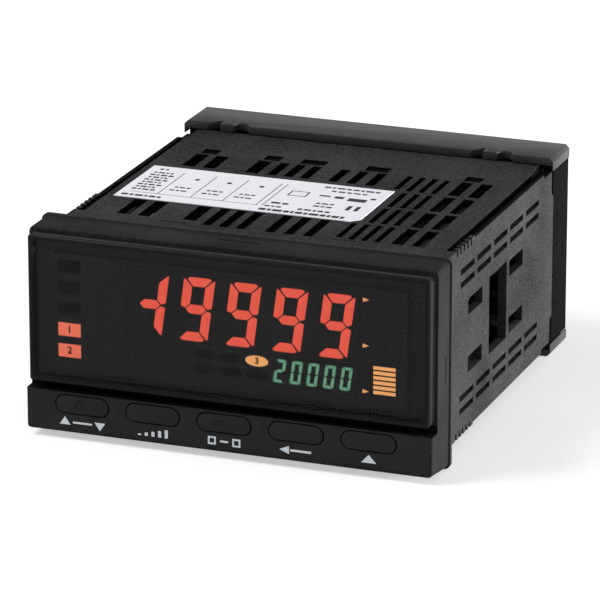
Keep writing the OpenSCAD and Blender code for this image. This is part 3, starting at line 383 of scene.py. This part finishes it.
def eased(node, edge, rings):
    """A merged copy of a CAD piece whose edges are eased by a real mould radius, in millimetres."""
    piece = bpy.data.objects.new(node + "_eased", frame["nodes"][node].data.copy())
    bpy.context.scene.collection.objects.link(piece)
    only(piece)
    bpy.ops.mesh.customdata_custom_splitnormals_clear()
    bpy.ops.object.mode_set(mode="EDIT")
    bpy.ops.mesh.select_all(action="SELECT")
    bpy.ops.mesh.remove_doubles(threshold=WELD)
    bpy.ops.mesh.dissolve_limited(angle_limit=FLAT_BELOW)
    bpy.ops.object.mode_set(mode="OBJECT")
    bpy.ops.object.modifier_add(type="BEVEL")
    ease = piece.modifiers[-1]
    ease.width = edge * MM
    ease.segments = rings
    ease.limit_method = "ANGLE"
    ease.angle_limit = SHARP_ABOVE
    bpy.ops.object.modifier_apply(modifier=ease.name)
    bpy.ops.object.shade_smooth_by_angle(angle=SMOOTH_BELOW)
    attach(piece, BODY_OF[node])
    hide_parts(node)
    return piece


# Node, width of the eased edge in millimetres, and steps across it
EASED = [("case_shell", 0.12, 1), ("front_bezel", 0.22, 2), ("display_window", 0.16, 2),
         ("key_panel", 0.1, 2), ("panel_gasket", 0.15, 2)]
EASED += [("key_%d" % n, 0.1, 2) for n in range(1, 6)]
EASED += [("upper_mounting_clip", 0.2, 2), ("lower_mounting_clip", 0.2, 2)]
EASED += [("terminal_block_%d" % n, 0.1, 2) for n in range(1, 7)]
EASED += [("terminal_plates", 0.06, 1), ("terminal_screws", 0.08, 1)]
for node, edge, rings in EASED:
    eased(node, edge, rings)


def cut(piece, tool, how):
    """Cuts a piece with a tool piece, or keeps only what the tool encloses, and ends the tool."""
    only(piece)
    bpy.ops.object.modifier_add(type="BOOLEAN")
    change = piece.modifiers[-1]
    change.object = tool
    change.operation = how
    change.solver = "EXACT"
    bpy.ops.object.modifier_apply(modifier=change.name)
    bpy.data.objects.remove(tool)
    bpy.ops.object.shade_smooth_by_angle(angle=SMOOTH_BELOW)


# A block with two round lower edges softens the front's lower corners. Its base slants down
# towards the panel, so it also trims the underside: most near the front face, by 0.8 mm.
FRONT_CORNER = 1.1 * MM
CORNER_STEPS = 6
BASE_AT_FRONT = 22.56 * MM  # how far below the middle the block's base meets the front face
BASE_LIFT = 0.06 * MM  # how much higher the base is where the block starts, before that face
PAST_ENDS = 0.5 * MM  # how far the block reaches past the front face and the panel side
OVERCUT = 0.02 * MM  # keeps the block's other faces off those of the frame
HALF_BLOCK = 30 * MM
frame_low, frame_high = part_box("front_bezel")
frame_middle = (frame_low.y + frame_high.y) / 2
tool = start("cube", size=1, location=(0, frame_middle, 0))
tool.scale = (frame_high.x - frame_low.x + OVERCUT, frame_high.y - frame_low.y + 2 * PAST_ENDS,
              2 * HALF_BLOCK)
bpy.ops.object.transform_apply(location=True, rotation=True, scale=True)
pick(tool, lambda middle, normal: normal.z < -0.9)
bpy.ops.transform.translate(value=(0, 0, HALF_BLOCK + frame_low.z - OVERCUT))
cage = bmesh.from_edit_mesh(tool.data)
for vert in cage.verts:
    if vert.co.z < 0 and vert.co.y < frame_middle:
        vert.co.z = -BASE_AT_FRONT + BASE_LIFT
bmesh.update_edit_mesh(tool.data)
bpy.ops.mesh.select_mode(type="EDGE")
cage = bmesh.from_edit_mesh(tool.data)
for edge in cage.edges:
    ends = [vert.co for vert in edge.verts]
    edge.select_set(all(end.z < 0 for end in ends) and ends[0].x * ends[1].x > 0)
bmesh.update_edit_mesh(tool.data)
bpy.ops.mesh.bevel(offset=FRONT_CORNER, segments=CORNER_STEPS)
leave()
cut(bpy.data.objects["front_bezel_eased"], tool, "INTERSECT")

# Finger marks sunk in two of the keys: a ring on the first, a bar outline on the third
RING_RADIUS, RING_LINE, RING_SHIFT = 0.95 * MM, 0.14 * MM, 0.6 * MM
BAR_RADIUS, BAR_LINE, BAR_SHIFT = 0.5 * MM, 0.13 * MM, 0.8 * MM
BAR_HALF = 0.95 * MM  # how far each end of the bar is drawn out
ON_THE_MIDDLE = 0.001 * MM
KEY_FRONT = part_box("key_1")[0].y
low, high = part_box("key_1")
tool = start("torus", major_radius=RING_RADIUS, minor_radius=RING_LINE,
             major_segments=40, minor_segments=8, rotation=(math.pi / 2, 0, 0),
             location=((low.x + high.x) / 2 - RING_SHIFT, KEY_FRONT, (low.z + high.z) / 2))
bpy.ops.object.transform_apply(location=True, rotation=True, scale=True)
cut(bpy.data.objects["key_1_eased"], tool, "DIFFERENCE")
low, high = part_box("key_3")
tool = start("torus", major_radius=BAR_RADIUS, minor_radius=BAR_LINE,
             major_segments=32, minor_segments=8, rotation=(math.pi / 2, 0, 0))
bpy.ops.object.transform_apply(location=True, rotation=True, scale=True)
pick(tool, lambda middle, normal: middle.x > 0)
bpy.ops.mesh.select_mode(type="VERT")
cage = bmesh.from_edit_mesh(tool.data)
for vert in cage.verts:
    if abs(vert.co.x) > ON_THE_MIDDLE:
        vert.co.x += math.copysign(BAR_HALF, vert.co.x)
bmesh.update_edit_mesh(tool.data)
leave()
tool.location = ((low.x + high.x) / 2 - BAR_SHIFT, KEY_FRONT, (low.z + high.z) / 2)
bpy.ops.object.transform_apply(location=True, rotation=False, scale=False)
cut(bpy.data.objects["key_3_eased"], tool, "DIFFERENCE")

# ---- Print on the key sheet ----

SHEET_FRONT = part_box("key_panel")[0].y
PRINT_MIDDLE = -20.2 * MM
PRINT_HIGH = 1.9 * MM
INK = 0.02 * MM


def ink_bar(x, z, wide, high, turn=0.0):
    """A bar of ink on the key sheet."""
    bar = start("cube", size=1, location=(x, SHEET_FRONT - INK / 2, z))
    bar.scale = (wide, INK, high)
    bar.rotation_euler = (0, turn, 0)
    bpy.ops.object.transform_apply(location=False, rotation=True, scale=True)
    return bar


def ink_arrow(x, z, wide, high, toward):
    """A three-cornered mark of ink that points up, down or left."""
    arrow = start("cylinder", vertices=3, radius=0.5, depth=INK,
                  location=(x, SHEET_FRONT - INK / 2, z), rotation=(math.pi / 2, 0, 0))
    bpy.ops.object.transform_apply(location=False, rotation=True, scale=False)
    turn = {"up": 0.0, "down": math.pi, "left": -math.pi / 2}[toward]
    arrow.rotation_euler = (0, turn, 0)
    bpy.ops.object.transform_apply(location=False, rotation=True, scale=False)
    span = arrow.dimensions
    arrow.scale = (wide / span.x, 1, high / span.z)
    bpy.ops.object.transform_apply(location=False, rotation=False, scale=True)
    return arrow


def ink_frame(x, z, wide, high, line):
    """A square outline of ink, from four bars that meet at the corners."""
    return [ink_bar(x, z + high / 2 - line / 2, wide, line),
            ink_bar(x, z - high / 2 + line / 2, wide, line),
            ink_bar(x - wide / 2 + line / 2, z, line, high - 2 * line),
            ink_bar(x + wide / 2 - line / 2, z, line, high - 2 * line)]


LINE = 0.45 * MM  # thickness of the single lines in the print
FRAME_LINE = 0.4 * MM
PRINT_LOW = PRINT_MIDDLE - PRINT_HIGH / 2


def key_middle(n):
    """Where the middle of a key lies across the front."""
    low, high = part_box("key_" + str(n))
    return (low.x + high.x) / 2


def legend(n, pieces):
    """The print under a key, as one piece."""
    gather(pieces, "key_%d_print" % n, "screen_ink_pale")


# Key 1, highest and lowest: arrows up and down either side of a line
x = key_middle(1)
legend(1, [ink_arrow(x - 4.2 * MM, PRINT_MIDDLE, 2.6 * MM, PRINT_HIGH, "up"),
           ink_bar(x, PRINT_MIDDLE, 4.6 * MM, LINE),
           ink_arrow(x + 4.2 * MM, PRINT_MIDDLE, 2.6 * MM, PRINT_HIGH, "down")])
# Key 2, setting steps: five rising bars
STEPS, STEP_PITCH, STEP_WIDE = 5, 1.6 * MM, 0.75 * MM
x = key_middle(2)
legend(2, [ink_bar(x + (n - STEPS // 2) * STEP_PITCH,
                   PRINT_LOW + PRINT_HIGH * (n + 1) / (2 * STEPS),
                   STEP_WIDE, PRINT_HIGH * (n + 1) / STEPS) for n in range(STEPS)])
# Key 3, change of screen: two frames with a bar between
x = key_middle(3)
legend(3, ink_frame(x - 2.9 * MM, PRINT_MIDDLE, 1.9 * MM, PRINT_HIGH, FRAME_LINE)
       + [ink_bar(x, PRINT_MIDDLE, 1.9 * MM, LINE)]
       + ink_frame(x + 2.9 * MM, PRINT_MIDDLE, 1.9 * MM, PRINT_HIGH, FRAME_LINE))
# Key 4, next digit: an arrow to the left with its shaft
x = key_middle(4)
legend(4, [ink_arrow(x - 2.4 * MM, PRINT_MIDDLE, 2.3 * MM, PRINT_HIGH, "left"),
           ink_bar(x + 1.1 * MM, PRINT_MIDDLE, 4.9 * MM, 0.5 * MM)])
# Key 5, higher value: a wide arrow up
legend(5, [ink_arrow(key_middle(5), PRINT_MIDDLE, 3.5 * MM, PRINT_HIGH, "up")])

# ---- Numbers on the lit lamps ----

DIGIT_SHARE = 0.72  # height of a digit as a share of the size of its type
INK_SPREAD = 0.06 * MM


def number(text, x, front, z, high, name):
    """A printed number on a lamp window, from outlines made a mesh before its place is applied."""
    bpy.ops.object.select_all(action="DESELECT")
    bpy.ops.object.text_add(location=(x, front - INK / 2, z), rotation=(math.pi / 2, 0, 0))
    words = bpy.context.object
    words.data.body = text
    words.data.size = high / DIGIT_SHARE
    words.data.align_x = "CENTER"
    words.data.align_y = "CENTER"
    words.data.extrude = INK / 2
    words.data.offset = INK_SPREAD
    words.data.resolution_u = 4
    bpy.ops.object.convert(target="MESH")
    words = bpy.context.object
    bpy.ops.object.mode_set(mode="EDIT")
    bpy.ops.mesh.select_all(action="SELECT")
    bpy.ops.mesh.remove_doubles(threshold=0.0005 * MM)
    bpy.ops.mesh.normals_make_consistent(inside=False)
    bpy.ops.object.mode_set(mode="OBJECT")
    gather([words], name, "lamp_ink_dark")


lit_low, lit_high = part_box("alarm_lamps_lit")
lamp_middle = (lit_low.x + lit_high.x) / 2
LAMP_TALL = 3.2 * MM
LAMP_NUMBER = 1.7 * MM
OVAL_NUMBER = 1.5 * MM
number("1", lamp_middle, lit_low.y, lit_high.z - LAMP_TALL / 2, LAMP_NUMBER, "alarm_lamp_number_1")
number("2", lamp_middle, lit_low.y, lit_low.z + LAMP_TALL / 2, LAMP_NUMBER, "alarm_lamp_number_2")
oval_low, oval_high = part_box("status_lamp_lit")
number("3", (oval_low.x + oval_high.x) / 2, oval_low.y, (oval_low.z + oval_high.z) / 2,
       OVAL_NUMBER, "status_lamp_number")

# ---- Print on the type label ----

label_low, label_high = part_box("type_label")


def dash(x, y, long, deep=0.5, thick=0.012):
    """One dark printed dash on the label: middle and size in millimetres in the part's frame."""
    bar = start("cube", size=1, location=(x * MM, y * MM, label_high.z + thick * MM / 2))
    bar.scale = (long * MM, deep * MM, thick * MM)
    bpy.ops.object.transform_apply(location=False, rotation=False, scale=True)
    return bar


def dash_row(x0, x1, y, longs, gap, deep=0.5):
    """A row of short dashes between two places, whose lengths repeat in a fixed order."""
    made = []
    at = x0
    step = 0
    while at + longs[step % len(longs)] <= x1:
        long = longs[step % len(longs)]
        made.append(dash(at + long / 2, y, long, deep))
        at += long + gap
        step += 1
    return made


# Left half: a rule along, five across, three columns of dashes, eight rows of dashes beside them,
# and a row above and below
rules = [dash(-23.2, 28.7, 31.0, 0.22)]
for x in (-32.0, -24.0, -16.2, -8.0, -6.6):
    rules.append(dash(x, 37.3, 0.2, 17.0))
for x in (-28.0, -20.1, -12.2):
    rules += dash_row(x - 2.6, x + 2.4, 32.6, (1.2, 0.7, 1.4), 0.4, 0.8)
    rules += dash_row(x - 2.2, x + 2.4, 35.0, (0.8, 1.3, 0.9), 0.4, 0.8)
    rules.append(dash(x + 0.6, 42.0, 1.0, 1.2))
for step, y in enumerate((31.0, 32.9, 34.8, 36.7, 38.6, 40.5, 42.4, 44.3)):
    odd = step % 2
    longs = (0.7, 1.5, 0.5) if odd else (1.2, 0.6, 1.5)
    rules += dash_row(-39.2 + 0.3 * odd, -33.0, y, longs, 0.4, 0.95)
rules += dash_row(-38.6, -35.0, 47.0, (1.0, 0.7), 0.5, 0.9)
rules += dash_row(-39.8, -28.6, 26.3, (1.6, 0.9, 1.9, 0.7), 0.4, 1.2)
gather(rules, "label_rules_left", "label_ink_dark")
# Right half: rows of dashes, one square outline and six plain bars
rules = dash_row(-6.4, 14.4, 26.2, (1.7, 0.9, 2.3, 1.3, 0.8), 0.35, 1.5)
rules += dash_row(-6.0, -1.0, 28.9, (1.2, 0.8), 0.4, 0.9)
rules += dash_row(2.0, 10.6, 28.9, (1.1, 1.7, 0.8, 1.3), 0.4, 1.1)
rules += dash_row(-5.4, 0.4, 31.6, (2.2, 1.4), 0.5, 1.2)
rules += dash_row(4.4, 9.4, 32.4, (1.4, 0.9), 0.4, 0.9)
rules += dash_row(4.4, 9.8, 34.6, (0.9, 1.6), 0.4, 0.9)
rules += dash_row(2.0, 16.6, 46.9, (1.5, 0.8, 1.9, 1.1), 0.4, 1.0)
rules += dash_row(4.6, 14.0, 44.4, (1.1, 1.6), 0.5, 0.9)
rules += [dash(-1.8, 41.6, 4.4, 0.35), dash(-1.8, 38.2, 4.4, 0.35), dash(-3.85, 39.9, 0.35, 3.0),
          dash(0.25, 39.9, 0.35, 3.0)]
for bar in ((12.6, 33.4, 1.0, 3.4), (14.6, 33.4, 1.0, 3.4), (12.4, 39.6, 4.4, 2.2),
            (7.9, 40.2, 2.2, 1.6), (4.4, 40.4, 2.6, 0.9), (15.6, 41.6, 1.2, 1.2)):
    rules.append(dash(*bar))
gather(rules, "label_rules_right", "label_ink_dark")

# ---- Ring marks on the window ----

RING_DEPTH, RING_PROUD = 0.12 * MM, 0.03 * MM
RING_WALL, RING_HOLLOW = 0.25 * MM, 0.07 * MM


def ring_mark(name, x, z, across):
    """A low moulded ring: a disc whose middle is drawn in and pressed back."""
    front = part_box("display_window")[0].y
    ring = start("cylinder", vertices=32, radius=across / 2, depth=RING_DEPTH,
                 location=(x, front - RING_PROUD, z), rotation=(math.pi / 2, 0, 0))
    bpy.ops.object.transform_apply(location=True, rotation=True, scale=False)
    pick(ring, lambda middle, normal: normal.y < -0.9)
    bpy.ops.mesh.inset(thickness=RING_WALL)
    bpy.ops.mesh.extrude_region_move(TRANSFORM_OT_translate={"value": (0, RING_HOLLOW, 0)})
    leave()
    gather([ring], name, "key_satin_plastic")
    bpy.ops.object.shade_smooth_by_angle(angle=SMOOTH_BELOW)


ring_mark("window_ring_left", -45.8 * MM, 19.4 * MM, 1.6 * MM)
ring_mark("window_ring_right", 44.9 * MM, 19.9 * MM, 1.4 * MM)

# ---- Floor and light ----

FLOOR_ACROSS = 12
FLOOR_GLOW, ROOM_LIGHT, WHITE_GROUND = 0.5, 0.4, 1.0
floor_level = cad_box[0].z
bpy.ops.object.select_all(action="DESELECT")
bpy.ops.mesh.primitive_plane_add(size=FLOOR_ACROSS, location=(0, 0, floor_level))
floor = bpy.context.object
floor.name = "floor"
tree, output = blank("pale_floor")
paper = add(tree, "BsdfDiffuse", {"Color": linear("#dcdcdc")})
glow = add(tree, "Emission", {"Strength": FLOOR_GLOW})
both = add(tree, "AddShader", {0: paper.outputs[0], 1: glow.outputs[0]})
sides = add(tree, "MixShader", {0: seen_directly(tree), 1: paper.outputs[0], 2: both.outputs[0]})
under = add(tree, "NewGeometry")
clear = add(tree, "BsdfTransparent")
show(tree, output, add(tree, "MixShader", {0: under.outputs["Backfacing"], 1: sides.outputs[0],
                                           2: clear.outputs[0]}))
floor.data.materials.append(bpy.data.materials["pale_floor"])

world = bpy.data.worlds.new("studio")
bpy.context.scene.world = world
world.use_nodes = True
world.node_tree.nodes.clear()
sky = world.node_tree
room = add(sky, "Background", {"Strength": ROOM_LIGHT})
white = add(sky, "Background", {"Strength": WHITE_GROUND})
mixed = add(sky, "MixShader", {0: seen_directly(sky), 1: room.outputs[0], 2: white.outputs[0]})
show(sky, add(sky, "OutputWorld"), mixed)


def softbox(name, toward, away, wide, high, level):
    """A lamp behind a diffuser, facing the meter. Level 1 shows a face turned to it as it is
    coloured."""
    toward = Vector(toward).normalized()
    bpy.ops.object.select_all(action="DESELECT")
    bpy.ops.object.light_add(type="AREA", location=toward * away)
    light = bpy.context.object
    light.name = name
    light.rotation_mode = "QUATERNION"
    light.rotation_quaternion = toward.to_track_quat("Z", "Y")
    light.data.shape = "RECTANGLE"
    light.data.size, light.data.size_y = wide, high
    light.data.energy = level * (math.pi * away) ** 2
    light.visible_camera = False


softbox("softbox_right", (0.95, 0.30, 0.07), away=1.3, wide=0.9, high=0.22, level=2.15)
softbox("softbox_left", (-0.55, -0.30, 0.78), away=1.1, wide=0.5, high=0.5, level=0.62)
